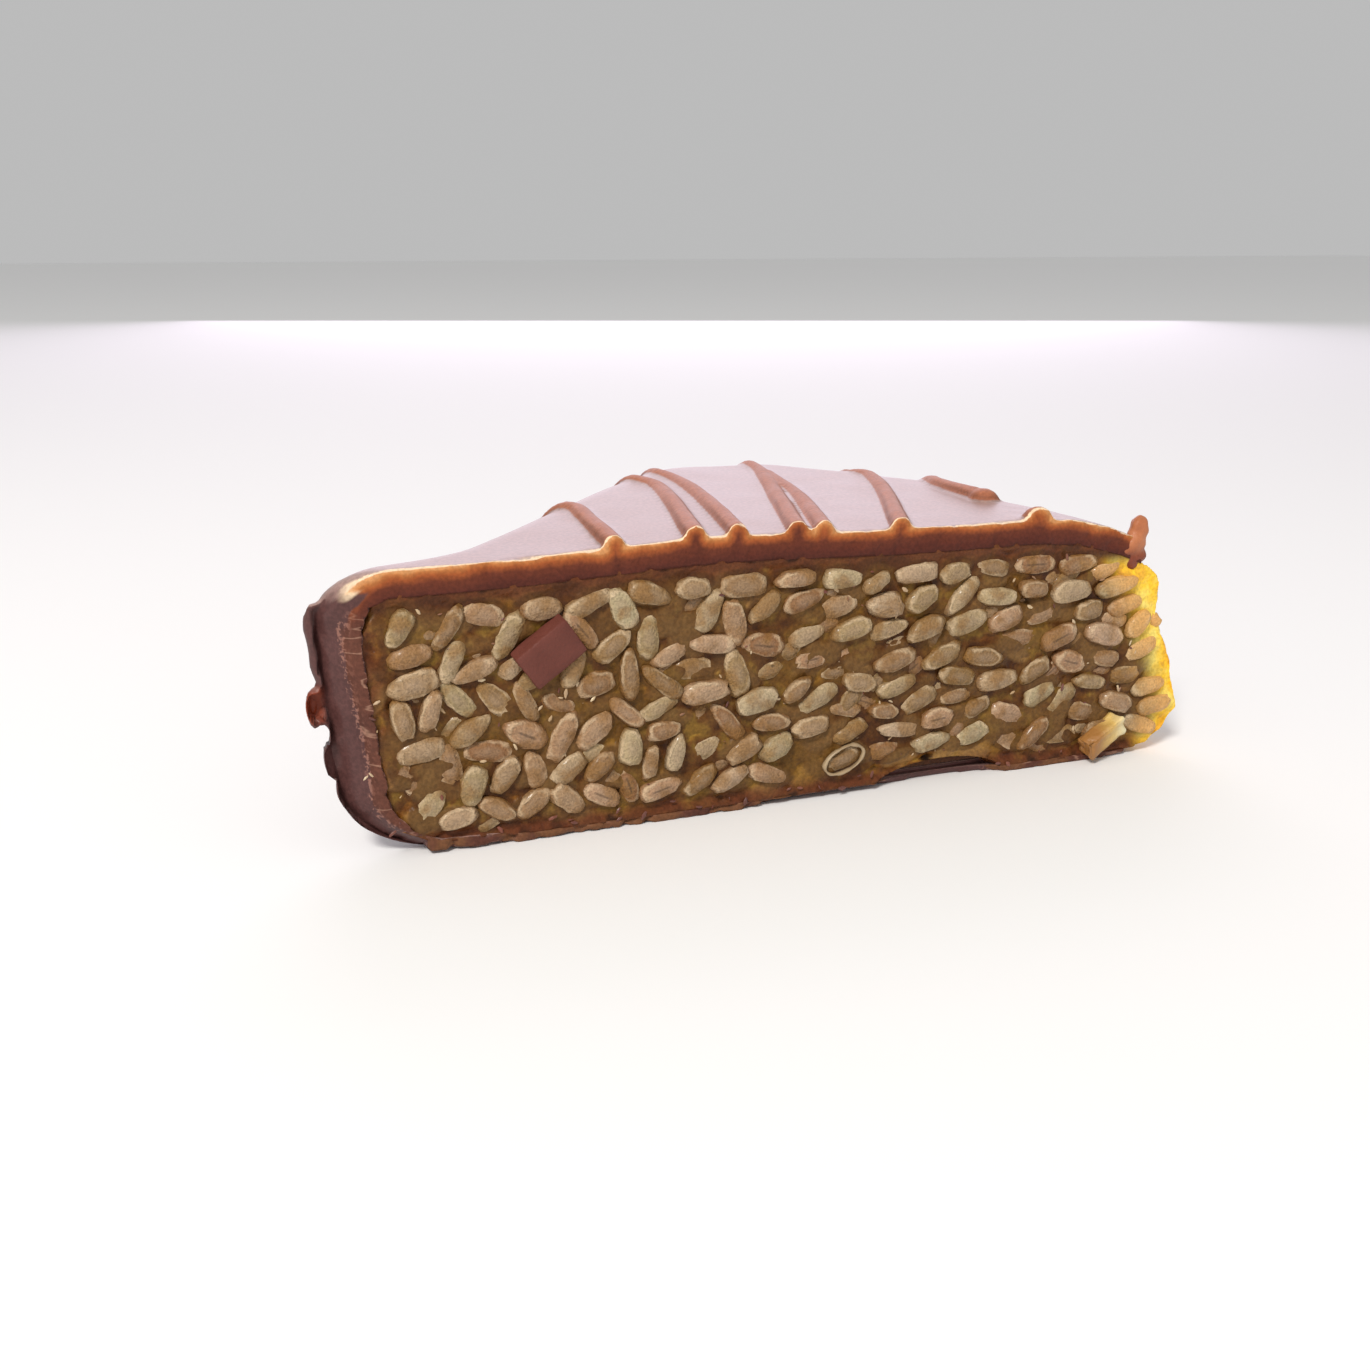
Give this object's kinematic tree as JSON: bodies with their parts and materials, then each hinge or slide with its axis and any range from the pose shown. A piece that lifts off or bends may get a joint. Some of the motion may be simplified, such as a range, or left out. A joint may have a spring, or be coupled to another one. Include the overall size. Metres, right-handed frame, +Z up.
{
  "type": "chocolate coated sesame snap",
  "caption": "Thick snap of whole sesame seeds in caramel under a drizzled milk chocolate coat, cut through from corner to corner so that the seeds show on the flat cut.",
  "frame": {"origin": "centre of the snap's outline seen from above, on the floor it rests on", "axes": "+X along the cut from its coated left end to its broken right end, +Y from the cut to the back corner, +Z up"},
  "size_m": [0.0588, 0.0318, 0.0182],
  "materials": {
    "chocolate": "glossy milk chocolate",
    "sesame": "sesame seeds in brown caramel"
  },
  "bodies": {
    "root": {"chocolate_coat": "chocolate", "sesame_filling": "sesame"}
  },
  "joints": []
}
